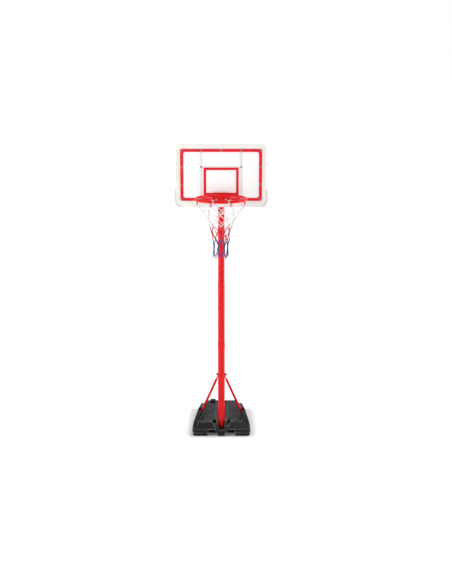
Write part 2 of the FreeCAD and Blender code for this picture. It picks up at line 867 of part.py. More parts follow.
def frame_outline(inset, y0, y1):
    return rounded_plate(frame_width - 2.0 * inset, board_bottom + inset, board_top - inset,
                         frame_corner - 0.5 * inset, frame_lower_corner - 0.5 * inset, y0, y1)


def rib_blocks():
    """The two upright ribs, the cross rib and the mounting bar between them."""
    low = board_bottom + frame_bar
    high = board_top - frame_bar
    half = 0.5 * rib_width
    ribs = [block(sign * rib_x - half, sign * rib_x + half, frame_front_y, board_back_y, low, high)
            for sign in (-1.0, 1.0)]
    half = 0.5 * cross_rib_width
    span = rib_x - 0.5 * rib_width
    for bottom, top in ((cross_rib_height - half, cross_rib_height + half), (mount_bar_low, mount_bar_high)):
        ribs.append(block(-span, span, frame_front_y, board_back_y, bottom, top))
    return ribs


def screw_places():
    """The (x, z) places of the screws round the border and on the ribs."""
    top = border_top - 0.5 * border_bar
    bottom = border_bottom + 0.5 * border_bar
    side_low = 0.5 * (top + bottom) - border_screw_drop
    places = [(0.0, top)]
    for sign in (-1.0, 1.0):
        places += [(sign * border_centre_x, top),
                   (sign * rib_x, top),
                   (sign * border_centre_x, cross_rib_height),
                   (sign * border_centre_x, side_low),
                   (sign * rib_x, cross_rib_height),
                   (sign * border_centre_x, bottom),
                   (sign * rib_x, bottom)]
    return places


def screw_front(x, z):
    """The front surface that a board screw's washer lies on: the border, or the panel over a rib."""
    on_rib = abs(x) < rib_x + 1.0 and abs(z - cross_rib_height) < 1.0
    return panel_front_y if on_rib else border_front_y


def board_frame():
    """The moulded frame: a bar all round, ribs, hollow at the back with cross webs, and screw bosses."""
    shell = frame_outline(0.0, frame_front_y, board_back_y)
    window = rounded_plate(frame_width - 2.0 * frame_bar, board_bottom + frame_bar, board_top - frame_bar,
                           6.0, 6.0, frame_front_y - overrun, board_back_y + overrun)
    frame = shell.cut(window).multiFuse(rib_blocks())
    inner_y = frame_front_y + frame_wall
    hollow_outside = frame_outline(frame_wall, inner_y, board_back_y + overrun)
    hollow_inside = rounded_plate(frame_width - 2.0 * (frame_bar - frame_wall),
                                  board_bottom + frame_bar - frame_wall, board_top - frame_bar + frame_wall,
                                  4.0, 4.0, inner_y - overrun, board_back_y + 2.0 * overrun)
    hollow = hollow_outside.cut(hollow_inside)
    start = inner_y - overrun
    webs = web_blocks(start)
    bosses = [rod(boss_web_radius, V(x, start, z), Y, board_back_y - start) for x, z in screw_places()]
    hollow = hollow.cut(webs[0].multiFuse(webs[1:] + bosses))
    frame = frame.cut(hollow)
    recess = rounded_plate(border_width + 2.0 * sliding_gap, border_bottom - sliding_gap,
                           border_top + sliding_gap, border_corner, border_corner,
                           frame_front_y - overrun, panel_back_y)
    pilots = []
    for height in (lower_bracket_z, upper_bracket_z):
        pilots += [rod(0.5 * board_screw_diameter, V(x, board_back_y, z), V(0, -1, 0), bracket_screw_length)
                   for x, z in bracket_screw_places(height)]
    return frame.cut(recess.multiFuse(board_holes(screw_places()) + pilots))


def board_holes(places):
    """Holes through the whole board for screws at those places, and for the ring's bolts."""
    start = border_front_y - overrun
    length = board_back_y + bracket_sheet + overrun - start
    holes = [rod(0.5 * board_screw_diameter, V(x, start, z), Y, length) for x, z in places]
    radius = 0.5 * ring_bolt_diameter + 0.5 * bolt_gap
    return holes + [rod(radius, V(x, start, z), Y, length) for x, z in ring_bolt_places()]


def web_blocks(y0):
    """The thin webs across the frame's hollow bars."""
    webs = []
    half = 0.5 * web_thickness
    end = board_back_y - 2.0
    for k in range(upright_web_count):
        x = frame_width * ((k + 1.0) / (upright_web_count + 1.0) - 0.5)
        webs.append(block(x - half, x + half, y0, end, board_bottom, board_top))
    for k in range(level_web_count):
        z = board_bottom + board_height * (k + 1.0) / (level_web_count + 1.0)
        webs.append(block(-0.5 * frame_width, 0.5 * frame_width, y0, end, z - half, z + half))
    return webs


def board_panel():
    panel = rounded_plate(border_width, border_bottom, border_top, border_corner, border_corner,
                          panel_front_y, panel_back_y)
    holes = board_holes(screw_places())
    return panel.cut(holes[0].multiFuse(holes[1:]))


def board_border():
    outer = rounded_plate(border_width, border_bottom, border_top, border_corner, border_corner,
                          border_front_y, panel_front_y)
    inner = rounded_plate(border_width - 2.0 * border_bar, border_bottom + border_bar, border_top - border_bar,
                          border_inner_corner, border_inner_corner,
                          border_front_y - overrun, panel_front_y + overrun)
    rim = [e for e in outer.Edges if is_at(e.BoundBox.YMax, border_front_y)]
    outer = outer.makeFillet(border_roll, rim)
    return outer.cut(inner.multiFuse(board_holes(screw_places())))


def board_target():
    """The raised target rectangle on the panel, above the ring."""
    low = board_bottom + target_rise
    high = low + target_height
    front = panel_front_y - target_thickness
    outer = rounded_plate(target_width, low, high, target_corner, target_corner, front, panel_front_y)
    inner = rounded_plate(target_width - 2.0 * target_bar, low + target_bar, high - target_bar,
                          target_corner, target_corner, front - overrun, panel_front_y + overrun)
    return outer.cut(inner)


def corner_guard():
    """The right-hand bumper: it wraps the board's lower corner, with a lip behind the frame."""
    top = board_bottom + guard_height
    lip_back_y = board_back_y + frame_wall
    outer = rounded_plate(board_width, board_bottom, board_top, frame_corner, guard_corner,
                          frame_front_y, board_back_y)
    inner = frame_outline(-guard_slot, frame_front_y - overrun, board_back_y + overrun)
    below = block(0.0, board_width, frame_front_y - overrun, lip_back_y + overrun,
                  board_bottom - overrun, top)
    shell = outer.cut(inner).common(below)
    lip = rounded_plate(board_width, board_bottom, board_top, frame_corner, guard_corner,
                        board_back_y, lip_back_y)
    lip_inner = frame_outline(guard_lip, board_back_y - overrun, lip_back_y + overrun)
    lip = lip.cut(lip_inner).common(below)
    cutoff = block(0.0, 0.5 * frame_width - frame_lower_corner, frame_front_y - 2.0 * overrun,
                   lip_back_y + 2.0 * overrun, board_bottom - 2.0 * overrun, top)
    parts = [s for s in shell.cut(cutoff).Solids if s.BoundBox.ZMax > board_bottom + 0.5 * guard_height]
    guard = fuse(parts + [lip.cut(cutoff)])
    holes = [rod(0.5 * board_screw_diameter, V(x, board_back_y - overrun, z), Y, 2.0 * overrun + frame_wall)
             for x, z in guard_places()]
    return guard.cut(holes[0].fuse(holes[1]))


def guard_places():
    """The (x, z) places of the two screws in the right-hand guard's lip."""
    return [(0.5 * frame_width - guard_screw_inset, board_bottom + rise) for rise in guard_screw_rises]


def guard_screws():
    seat_y = board_back_y + frame_wall
    right = [pan_screw(board_screw_diameter, board_screw_head, V(x, seat_y, z), V(0, -1, 0), frame_wall - 0.5)
             for x, z in guard_places()]
    return Part.makeCompound(right + [mirrored(s) for s in right])


def board_screws():
    screws = []
    for x, z in screw_places():
        seat_y = screw_front(x, z) - board_washer_thickness
        length = board_back_y + board_nut_height + 1.8 - seat_y
        screws.append(pan_screw(board_screw_diameter, board_screw_head, V(x, seat_y, z), Y, length))
    return Part.makeCompound(screws)


def board_washers():
    rings = [washer(board_screw_diameter, V(x, screw_front(x, z) - board_washer_thickness, z), Y,
                    board_washer_diameter, board_washer_thickness)
             for x, z in screw_places()]
    return Part.makeCompound(rings)


def board_nuts():
    nuts = [hex_nut(board_screw_diameter, board_nut_width, V(x, board_back_y, z), Y, board_nut_height)
            for x, z in screw_places()]
    return Part.makeCompound(nuts)


# Brackets between the board and the pole

def pole_bracket(height):
    """A folded U bracket: a plate on the board's back, with a cheek on each side of the pole."""
    half = 0.5 * bracket_height
    low = height - half
    high = height + half
    plate = block(-0.5 * bracket_plate_width, 0.5 * bracket_plate_width,
                  board_back_y, board_back_y + bracket_sheet, low, high)
    inner = bracket_outer_x - bracket_sheet
    cheek = block(inner, bracket_outer_x, board_back_y, bracket_reach, low, high)
    rounded = [e for e in edges_along(cheek, X) if is_at(e.CenterOfMass.y, bracket_reach)]
    cheek = cheek.makeFillet(0.45 * bracket_height, rounded)
    bracket = fuse([plate, cheek, mirrored(cheek)])
    holes = [cross_drill(height, main_bolt_diameter)] + board_holes(bracket_screw_places(height))
    return bracket.cut(holes[0].multiFuse(holes[1:]))


def bracket_screw_places(height):
    return [(-bracket_screw_x, height), (bracket_screw_x, height)]


def bracket_screws():
    """The screws that hold both brackets to the board's ribs."""
    seat_y = board_back_y + bracket_sheet
    places = bracket_screw_places(lower_bracket_z) + bracket_screw_places(upper_bracket_z)
    screws = [pan_screw(board_screw_diameter, board_screw_head, V(x, seat_y, z), V(0, -1, 0),
                        bracket_sheet + bracket_screw_length)
              for x, z in places]
    return Part.makeCompound(screws)


def bracket_bolts():
    length = 2.0 * bracket_outer_x + main_nut_height + bolt_end
    bolts = [hex_bolt(main_bolt_diameter, main_bolt_head, main_bolt_head_height,
                      V(-bracket_outer_x, 0, z), X, length)
             for z in (lower_bracket_z, upper_bracket_z)]
    return Part.makeCompound(bolts)


def bracket_nuts():
    nuts = [hex_nut(main_bolt_diameter, main_bolt_head, V(bracket_outer_x, 0, z), X, main_nut_height)
            for z in (lower_bracket_z, upper_bracket_z)]
    return Part.makeCompound(nuts)


# Ring

def ring_bolt_places():
    """The (x, z) places of the two bolts through the ring's plate."""
    z = border_bottom + 0.5 * border_bar
    return [(-ring_bolt_x, z), (ring_bolt_x, z)]


def ring_bracket():
    """The pressed steel bracket: an upright plate, a shelf under the ring and two side gussets."""
    half = 0.5 * ring_plate_width
    t = ring_plate_thickness
    back = border_front_y
    shelf_z = ring_height - 0.5 * ring_tube - t
    low = ring_height - ring_plate_below
    plate = rounded_plate(ring_plate_width, low, ring_height + ring_plate_above,
                          ring_plate_corner, ring_plate_corner, back - t, back)
    shelf_front = ring_y + math.sqrt(ring_radius ** 2 - half ** 2) + ring_shelf_grip
    shelf = block(-half, half, shelf_front, back, shelf_z, shelf_z + t)
    gusset_outline = [(back, shelf_z),
                      (back, low + gusset_rise),
                      (back - gusset_foot, low + gusset_rise),
                      (shelf_front + gusset_setback, shelf_z)]
    gusset = side_prism(gusset_outline, half - t, half)
    clear_ring = Part.makeTorus(ring_radius, 0.5 * ring_tube, V(0, ring_y, ring_height))
    bracket = fuse([plate, shelf, gusset, mirrored(gusset)])
    holes = [rod(0.5 * ring_bolt_diameter + bolt_gap, V(x, back - t - overrun, z), Y, t + 2.0 * overrun)
             for x, z in ring_bolt_places()]
    slot = block(-shelf_slot_half, shelf_slot_half, shelf_front - overrun, back - 4.0 * t,
                 shelf_z - overrun, shelf_z + t + overrun)
    return bracket.cut(holes[0].multiFuse([holes[1], slot, clear_ring]))


def ring_bolts():
    bolts = []
    seat_y = ring_plate_front_y
    length = board_back_y + bracket_sheet + ring_nut_height + 2.4 - seat_y
    for x, z in ring_bolt_places():
        bolts.append(hex_bolt(ring_bolt_diameter, ring_bolt_head, 0.4 * ring_bolt_head,
                              V(x, seat_y, z), Y, length))
    return Part.makeCompound(bolts)


def ring_nuts():
    seat_y = board_back_y + bracket_sheet
    nuts = [hex_nut(ring_bolt_diameter, ring_nut_width, V(x, seat_y, z), Y, ring_nut_height)
            for x, z in ring_bolt_places()]
    return Part.makeCompound(nuts)


def ring():
    """The bent steel tube."""
    centre = V(0, ring_y, ring_height)
    outer = Part.makeTorus(ring_radius, 0.5 * ring_tube, centre)
    return outer.cut(Part.makeTorus(ring_radius, 0.5 * ring_tube - ring_tube_wall, centre))


def ring_rails():
    """The two short side rods from the plate to the ring."""
    radius = 0.5 * rail_rod_diameter
    x = 0.5 * ring_plate_width - rail_rod_inset
    touch_y = ring_y + math.sqrt(ring_radius ** 2 - x ** 2)
    z = ring_height - 0.5 * ring_tube - ring_plate_thickness - radius
    right = rod(radius, V(x, touch_y, z), Y, ring_plate_front_y - touch_y)
    return Part.makeCompound([right, mirrored(right)])


def net_hooks():
    """The wire loops welded under the ring, which the net hangs from."""
    half = 0.5 * hook_span
    radius = 0.5 * hook_wire
    bend_z = hook_top - hook_drop + half
    legs = [rod(radius, V(ring_radius, side, bend_z), Z, hook_top - bend_z) for side in (-half, half)]
    bend = Part.makeTorus(half, radius, V(ring_radius, 0, bend_z), X)
    lower = block(ring_radius - hook_span, ring_radius + hook_span, -hook_span, hook_span,
                  bend_z - hook_span, bend_z)
    hook = fuse(legs + [bend.common(lower)])
    hook = hook.cut(Part.makeTorus(ring_radius, 0.5 * ring_tube, V(0, 0, ring_height)))
    hooks = []
    for k in range(hook_count):
        turned = hook.copy()
        turned.rotate(ORIGIN, Z, 360.0 * (k + 0.5) / hook_count)
        turned.translate(V(0, ring_y, 0))
        hooks += turned.Solids
    return Part.makeCompound(hooks)


def net_radius(share):
    """The net's radius at a share of its length below the ring: a quick funnel, then a straight neck."""
    return net_neck + (ring_radius - net_neck) * (1.0 - share) ** 3 + net_flare * share


def net():
    """The net's soft shape: a thin open funnel below the hooks."""
    top_z = hook_bottom - sliding_gap
    stations = 12
    outside = []
    inside = []
    for k in range(stations + 1):
        share = k / stations
        z = top_z - share * net_length
        r = net_radius(share)
        outside.append(V(r + 0.5 * net_wall, 0, z))
        inside.append(V(r - 0.5 * net_wall, 0, z))
    outline = Part.Face(Part.makePolygon(outside + inside[::-1] + outside[:1]))
    funnel = outline.revolve(ORIGIN, Z, 360.0)
    funnel.translate(V(0, ring_y, 0))
    return funnel


NODES = {
    "base_tank": base_tank,
    "filler_cap": filler_cap,
    "cap_seal": cap_seal,
    "pole_foot_plug": pole_foot_plug,
    "lower_pole": lower_pole,
    "middle_pole": middle_pole,
    "pole_joint_screw": pole_joint_screw,
    "upper_pole": upper_pole,
    "pole_top_cap": pole_top_cap,
    "seat_bolt": seat_bolt,
    "seat_nut": seat_nut,
    "strut_right": strut,
    "strut_left": lambda: mirrored(strut()),
    "strut_bolt": strut_bolt,
    "strut_nut": strut_nut,
    "strut_washers": strut_washers,
    "strut_foot_screws": strut_foot_screws,
    "knob_boss": knob_boss,
    "knob_stud": knob_stud,
    "height_knob": height_knob,
    "board_frame": board_frame,
    "board_panel": board_panel,
    "board_border": board_border,
    "board_target": board_target,
    "corner_guard_right": corner_guard,
    "corner_guard_left": lambda: mirrored(corner_guard()),
    "guard_screws": guard_screws,
    "board_screws": board_screws,
    "board_washers": board_washers,
    "board_nuts": board_nuts,
    "upper_bracket": lambda: pole_bracket(upper_bracket_z),
    "lower_bracket": lambda: pole_bracket(lower_bracket_z),
    "bracket_screws": bracket_screws,
    "bracket_bolts": bracket_bolts,
    "bracket_nuts": bracket_nuts,
    "ring_bracket": ring_bracket,
    "ring_bolts": ring_bolts,
    "ring_nuts": ring_nuts,
    "ring": ring,
    "ring_rails": ring_rails,
    "net_hooks": net_hooks,
    "net": net,
}

os.makedirs("parts", exist_ok=True)
for name, make in NODES.items():
    make().exportStep("parts/" + name + ".step")
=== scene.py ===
import math
import random

import bpy
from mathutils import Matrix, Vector


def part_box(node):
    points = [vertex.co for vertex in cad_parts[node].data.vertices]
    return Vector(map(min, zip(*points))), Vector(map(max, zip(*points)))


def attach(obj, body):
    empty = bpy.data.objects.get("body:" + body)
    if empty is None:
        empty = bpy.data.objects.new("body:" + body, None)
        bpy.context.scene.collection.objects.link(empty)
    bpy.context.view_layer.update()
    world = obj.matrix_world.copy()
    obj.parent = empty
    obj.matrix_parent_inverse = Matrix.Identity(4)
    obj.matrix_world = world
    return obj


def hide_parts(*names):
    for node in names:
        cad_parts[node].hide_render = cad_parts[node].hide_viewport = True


# Looks for the portable basketball hoop: materials on the CAD nodes, and a net of knotted cord.
# Metres. The board faces -Y and the origin is on the floor under the pole.

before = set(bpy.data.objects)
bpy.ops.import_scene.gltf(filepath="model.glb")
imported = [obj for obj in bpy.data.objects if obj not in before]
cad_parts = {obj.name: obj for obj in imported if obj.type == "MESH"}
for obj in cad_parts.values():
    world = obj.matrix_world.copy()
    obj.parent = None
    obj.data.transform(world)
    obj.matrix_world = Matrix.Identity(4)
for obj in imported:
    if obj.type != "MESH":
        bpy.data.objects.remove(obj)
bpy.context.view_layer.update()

# Camera: above the ring, and far enough back that the pole keeps its width
CAMERA_DISTANCE = 7.0
CAMERA_HEIGHT = 2.5
CAMERA_AIM_HEIGHT = 0.975
CAMERA_SIDE = 0.031
VIEW_HEIGHT_METRES = 3.85
SENSOR_MM = 36.0

# Studio: how strongly the world lights the object, and the floor's own glow, dimmed beside the tank as a
# painted contact shadow
AMBIENT = 0.38
FLOOR_HALF_WIDTH = 300.0
FLOOR_GLOW = 0.4
CONTACT_SHADOW_GLOW = 0.08
CONTACT_SHADOW_REACH = 0.055
FAR_GLOW_START = 0.4
FAR_GLOW_END = 3.0

# Net cord
CORD_RADIUS = 0.0025
CORD_SIDES = 8
BRAID_PITCH = 0.006
KNOT_CORD_RADIUS = 0.9 * CORD_RADIUS

# Net: columns counted from +X, and rows of knots at shares of the net's length
NET_COLUMNS = 8
FRONT_COLUMN = 6
KNOT_SHARES = (0.17, 0.29, 0.40, 0.52, 0.64, 0.77)
FIRST_RED_ROW = 3
FIRST_BLUE_ROW = 5
NECK_RADIUS = 0.044
NECK_FLARE = 0.002

# How loose the net is at its top and how much more at its end, and how far that lets chance move a knot
LOOSENESS_AT_TOP = 0.3
LOOSENESS_GAIN = 1.1
ANGLE_SCATTER = 0.10
RADIUS_SCATTER = 0.09
DROP_SCATTER = 0.007

# How the cords between the knots bow
CORD_SLACK = 0.024
BOW_SCATTER = 0.8
BOW_SAG = 0.4

# Loops over the hooks, lashings round the ring and loose loops at the bottom
HOOK_WIRE_RADIUS = 0.00225
HOOK_CLEARANCE = 0.0002
RING_CLEARANCE = 0.0003
LOOP_SPREAD = 0.005
LASHING_OFFSET = 0.37
LOW_LOOP_SHARE = 0.985
LOW_LOOP_LOOSENESS = 0.8
LOW_LOOP_SPREAD = 0.30
LOW_LOOP_RISE = 0.020

# Rib strips behind the panel, drawn on it as painted shade
RIB_X = 0.127
RIB_WIDTH = 0.020
CROSS_RIB_WIDTH = 0.016

upper_bracket_low, upper_bracket_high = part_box("upper_bracket")
cross_rib_z = (upper_bracket_low.z + upper_bracket_high.z) / 2
hook_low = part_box("net_hooks")[0].z
ring_low, ring_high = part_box("ring")
ring_centre = (ring_low + ring_high) / 2
ring_tube_radius = (ring_high.z - ring_low.z) / 2
ring_radius = (ring_high.x - ring_low.x) / 2 - ring_tube_radius
net_low, net_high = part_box("net")
net_length = net_high.z - net_low.z


# Node helpers

class Shader:
    """A node material with short calls for the nodes that every material here uses."""

    def __init__(self, name):
        self.material = bpy.data.materials.new(name)
        self.material.use_nodes = True
        self.tree = self.material.node_tree
        self.surface = self.tree.nodes["Principled BSDF"]
        self.place = self.add("ShaderNodeTexCoord").outputs["Object"]

    def add(self, kind, **settings):
        node = self.tree.nodes.new(kind)
        for name, value in settings.items():
            setattr(node, name, value)
        return node

    def join(self, source, target):
        self.tree.links.new(source, target)

    def set(self, **values):
        for name, value in values.items():
            self.surface.inputs[name.replace("_", " ")].default_value = value

    def stretched(self, scale):
        """Object coordinates scaled by a triple, for grain with a direction."""
        mapping = self.add("ShaderNodeMapping")
        mapping.inputs["Scale"].default_value = scale
        self.join(self.place, mapping.inputs["Vector"])
        return mapping.outputs["Vector"]

    def noise(self, scale, detail=3.0, roughness=0.5, vector=None):
        node = self.add("ShaderNodeTexNoise")
        node.inputs["Scale"].default_value = scale
        node.inputs["Detail"].default_value = detail
        node.inputs["Roughness"].default_value = roughness
        self.join(vector or self.place, node.inputs["Vector"])
        return node.outputs["Fac"]

    def cells(self, scale, feature="F1", vector=None):
        node = self.add("ShaderNodeTexVoronoi", feature=feature)
        node.inputs["Scale"].default_value = scale
        self.join(vector or self.place, node.inputs["Vector"])
        return node.outputs["Distance"]

    def remap(self, value, low, high, to_low=0.0, to_high=1.0):
        node = self.add("ShaderNodeMapRange", interpolation_type="SMOOTHSTEP")
        node.inputs["From Min"].default_value = low
        node.inputs["From Max"].default_value = high
        node.inputs["To Min"].default_value = to_low
        node.inputs["To Max"].default_value = to_high
        self.join(value, node.inputs["Value"])
        return node.outputs["Result"]

    def maths(self, operation, first, second=None):
        node = self.add("ShaderNodeMath", operation=operation)
        for socket, value in zip(node.inputs, (first, second)):
            if value is None:
                continue
            if isinstance(value, (int, float)):
                socket.default_value = value
            else:
                self.join(value, socket)
        return node.outputs["Value"]

    def mix(self, share, first, second):
        """A colour between two others. Each is a colour triple or a socket."""
        node = self.add("ShaderNodeMix", data_type="RGBA")
        self.join(share, node.inputs["Factor"])
        for socket, value in ((node.inputs[6], first), (node.inputs[7], second)):
            if isinstance(value, tuple):
                socket.default_value = (*value, 1.0)
            else:
                self.join(value, socket)
        return node.outputs[2]

    def axes(self):
        """The X, Y and Z of the place, as separate values."""
        node = self.add("ShaderNodeSeparateXYZ")
        self.join(self.place, node.inputs["Vector"])
        return node.outputs["X"], node.outputs["Y"], node.outputs["Z"]

    def facing_up(self):
        geometry = self.add("ShaderNodeNewGeometry")
        split = self.add("ShaderNodeSeparateXYZ")
        self.join(geometry.outputs["Normal"], split.inputs["Vector"])
        return self.remap(split.outputs["Z"], 0.55, 0.98)

    def softened(self, radius):
        """The normal as it is with each edge rounded off by the radius."""
        bevel = self.add("ShaderNodeBevel", samples=6)
        bevel.inputs["Radius"].default_value = radius
        return bevel.outputs["Normal"]

    def edges(self, radius):
        """How much a point lies beside an edge, for wear and for painted edge highlights: the softened normal
        leans away from the face.
        """
        geometry = self.add("ShaderNodeNewGeometry")
        lean = self.add("ShaderNodeVectorMath", operation="DOT_PRODUCT")
        self.join(self.softened(radius), lean.inputs[0])
        self.join(geometry.outputs["Normal"], lean.inputs[1])
        return self.remap(lean.outputs["Value"], 0.99, 0.88)

    def colour(self, socket):
        self.join(socket, self.surface.inputs["Base Color"])

    def rough(self, socket):
        self.join(socket, self.surface.inputs["Roughness"])

    def bump(self, *layers, bevel=0.0005):
        """Bump from (height socket, depth in metres) layers, the last on top, over softened edges."""
        normal = self.softened(bevel)
        for value, depth in layers:
            node = self.add("ShaderNodeBump")
            node.inputs["Distance"].default_value = depth
            node.inputs["Strength"].default_value = 1.0
            self.join(value, node.inputs["Height"])
            self.join(normal, node.inputs["Normal"])
            normal = node.outputs["Normal"]
        self.join(normal, self.surface.inputs["Normal"])


# Materials

def tank_plastic():
    """Blow-moulded black polyethylene: fine pebble grain, dull patches, painted highlights along the edges
    broken up by noise, and lighter patches on upward-facing surfaces.
    """
    s = Shader("tank_plastic")
    patches = s.noise(14.0, 4.0, 0.6)
    mottle = s.noise(90.0, 3.0)
    black = s.mix(s.remap(patches, 0.35, 0.7), (0.009, 0.0095, 0.0105), (0.0155, 0.016, 0.018))
    # Lighter in patches on upward-facing surfaces.
    up_facing_patches = s.maths("MULTIPLY", s.facing_up(), s.remap(mottle, 0.45, 0.75, 0.0, 0.55))
    tinted = s.mix(up_facing_patches, black, (0.032, 0.032, 0.034))
    # Painted highlight: light grey along the edges, broken up by noise.
    painted_edge_highlights = s.maths("MULTIPLY", s.edges(0.005), s.remap(s.noise(26.0, 4.0), 0.3, 0.65, 0.3, 1.0))
    s.colour(s.mix(painted_edge_highlights, tinted, (0.34, 0.34, 0.35)))
    s.rough(s.remap(s.noise(60.0, 4.0, 0.6), 0.3, 0.7, 0.26, 0.42))
    grain = s.cells(900.0, "SMOOTH_F1")
    s.bump((s.noise(22.0, 2.0), 0.0012), (grain, 0.00022), bevel=0.0025)
    s.set(Specular_IOR_Level=0.14)
    return s.material


def red_enamel(name="red_enamel", worn=0.0):
    """Glossy red powder coat with faint orange peel. Where it slides, fine upright scratches dull it."""
    s = Shader(name)
    drift = s.noise(6.0, 2.0)
    red = s.mix(s.remap(drift, 0.3, 0.7), (0.68, 0.003, 0.006), (0.75, 0.005, 0.008))
    flecks = s.remap(s.noise(700.0, 2.0), 0.70, 0.78, 0.0, 0.35)
    red = s.mix(flecks, red, (0.45, 0.006, 0.01))
    scratches = s.noise(1.0, 3.0, 0.6, s.stretched((520.0, 520.0, 9.0)))
    scratched = s.remap(scratches, 0.6, 0.74, 0.0, 0.25 + worn)
    s.colour(s.mix(scratched, red, (0.72, 0.015, 0.018)))
    s.rough(s.maths("ADD", s.remap(s.noise(40.0, 3.0), 0.3, 0.7, 0.2, 0.3),
                    s.maths("MULTIPLY", scratched, 0.5)))
    s.bump((s.noise(320.0, 2.0), 0.00012), (scratches, 0.00002 + 0.00005 * worn))
    s.set(Coat_Weight=0.18, Coat_Roughness=0.05, Specular_IOR_Level=0.1)
    return s.material


def zinc(name="zinc_plate", light=(0.62, 0.63, 0.66), dark=(0.4, 0.41, 0.43), rough=0.3):
    """Plated steel with a faint crystalline mottle and turning marks."""
    s = Shader(name)
    mottle = s.cells(650.0)
    s.colour(s.mix(s.remap(s.noise(240.0, 4.0), 0.35, 0.68), dark, light))
    s.rough(s.remap(mottle, 0.0, 0.8, rough, rough + 0.2))
    s.bump((s.noise(1400.0, 2.0), 0.00004), (mottle, 0.00003))
    s.set(Metallic=1.0)
    return s.material


def frame_plastic():
    """Pale cream moulded polypropylene: satin, very slightly clouded, with a fine spark texture."""
    s = Shader("frame_plastic")
    cloud = s.noise(9.0, 3.0)
    cream = s.mix(s.remap(cloud, 0.3, 0.7), (0.80, 0.78, 0.74), (0.86, 0.85, 0.81))
    specks = s.remap(s.noise(1100.0, 1.0), 0.72, 0.8, 0.0, 0.25)
    s.colour(s.mix(specks, cream, (0.66, 0.63, 0.58)))
    s.rough(s.remap(s.noise(50.0, 3.0), 0.3, 0.7, 0.38, 0.5))
    s.bump((s.noise(30.0, 2.0), 0.0004), (s.cells(1500.0, "SMOOTH_F1"), 0.00008))
    s.set(Subsurface_Weight=0.12, Subsurface_Scale=0.006, Subsurface_Radius=(1.0, 0.9, 0.75))
    return s.material


def panel_sheet():
    """White sheet, slightly milky, with painted shade where the frame's rib strips touch it from behind."""
    s = Shader("panel_sheet")
    x, _, z = s.axes()
    across = s.maths("ABSOLUTE", x)
    from_rib = s.maths("ABSOLUTE", s.maths("SUBTRACT", across, RIB_X))
    on_upright = s.maths("LESS_THAN", from_rib, RIB_WIDTH / 2)
    inside = s.maths("LESS_THAN", across, RIB_X)
    from_cross = s.maths("ABSOLUTE", s.maths("SUBTRACT", z, cross_rib_z))
    near_cross = s.maths("LESS_THAN", from_cross, CROSS_RIB_WIDTH / 2)
    rib_shade = s.maths("MAXIMUM", on_upright, s.maths("MULTIPLY", inside, near_cross))
    cloud = s.noise(5.0, 2.0)
    white = s.mix(s.remap(cloud, 0.3, 0.7), (0.95, 0.955, 0.955), (0.975, 0.975, 0.97))
    # Painted shade: the sheet is darker in bands where the frame's rib strips lie behind it.
    s.colour(s.mix(s.maths("MULTIPLY", rib_shade, 0.85), white, (0.76, 0.74, 0.70)))
    s.rough(s.remap(s.noise(18.0, 4.0), 0.3, 0.7, 0.14, 0.24))
    s.bump((s.noise(7.0, 1.0), 0.0006), (s.noise(500.0, 2.0), 0.00002))
    s.set(Coat_Weight=0.35, Coat_Roughness=0.08)
    return s.material


def red_moulding(name="red_moulding"):
    """Glossy red moulded plastic for the border and the target."""
    s = Shader(name)
    drift = s.noise(12.0, 3.0)
    red = s.mix(s.remap(drift, 0.3, 0.7), (0.70, 0.010, 0.024), (0.77, 0.014, 0.032))
    rubbed = s.maths("MULTIPLY", s.edges(0.0008), s.remap(s.noise(220.0, 3.0), 0.5, 0.7, 0.0, 0.4))
    s.colour(s.mix(rubbed, red, (0.88, 0.16, 0.17)))
    s.rough(s.remap(s.noise(35.0, 3.0), 0.3, 0.7, 0.24, 0.34))
    s.bump((s.noise(18.0, 2.0), 0.0003), (s.cells(1300.0, "SMOOTH_F1"), 0.00006))
    s.set(Coat_Weight=0.03, Coat_Roughness=0.15, Specular_IOR_Level=0.12)
    return s.material


def black_moulding():
    """Satin black nylon of the knob, caps and plugs, with grip texture."""
    s = Shader("black_moulding")
    s.colour(s.mix(s.remap(s.noise(120.0, 3.0), 0.35, 0.7), (0.014, 0.014, 0.015), (0.03, 0.03, 0.032)))
    s.rough(s.remap(s.noise(200.0, 3.0), 0.3, 0.7, 0.36, 0.55))
    s.bump((s.cells(1600.0, "SMOOTH_F1"), 0.00015))
    return s.material


def rubber():
    """Matt black rubber of the cap's seal."""
    s = Shader("seal_rubber")
    s.colour(s.mix(s.remap(s.noise(300.0, 2.0), 0.35, 0.7), (0.02, 0.02, 0.02), (0.04, 0.038, 0.036)))
    s.rough(s.remap(s.noise(500.0, 2.0), 0.3, 0.7, 0.7, 0.85))
    s.bump((s.noise(900.0, 2.0), 0.0001))
    return s.material


def braid(name, deep, pale):
    """Braided cord: two crossing sets of strands along the piece's UV, with painted shade between them, and
    fibre fuzz.
    """
    s = Shader(name)
    uv = s.add("ShaderNodeTexCoord").outputs["UV"]
    waves = []
    for lean in (1.0, -1.0):
        mapping = s.add("ShaderNodeMapping")
        mapping.inputs["Scale"].default_value = (3.0, lean, 1.0)
        s.join(uv, mapping.inputs["Vector"])
        wave = s.add("ShaderNodeTexWave", wave_type="BANDS", bands_direction="DIAGONAL")
        wave.inputs["Scale"].default_value = 1.0
        s.join(mapping.outputs["Vector"], wave.inputs["Vector"])
        waves.append(wave.outputs["Fac"])
    strands = s.maths("MAXIMUM", waves[0], waves[1])
    fibres = s.noise(2600.0, 2.0)
    # Painted shade: darker in the grooves between the strands.
    shade = s.maths("MULTIPLY", strands, s.remap(fibres, 0.2, 0.8, 0.7, 1.0))
    tint = s.mix(s.remap(shade, 0.15, 0.9), deep, pale)
    soiled = s.remap(s.noise(35.0, 3.0), 0.5, 0.8, 0.0, 0.3)
    s.colour(s.mix(soiled, tint, deep))
    s.rough(s.remap(fibres, 0.3, 0.7, 0.72, 0.9))
    s.bump((strands, 0.0005), (fibres, 0.0001))
    s.set(Sheen_Weight=0.25, Sheen_Roughness=0.5)
    return s.material


# Mesh helpers

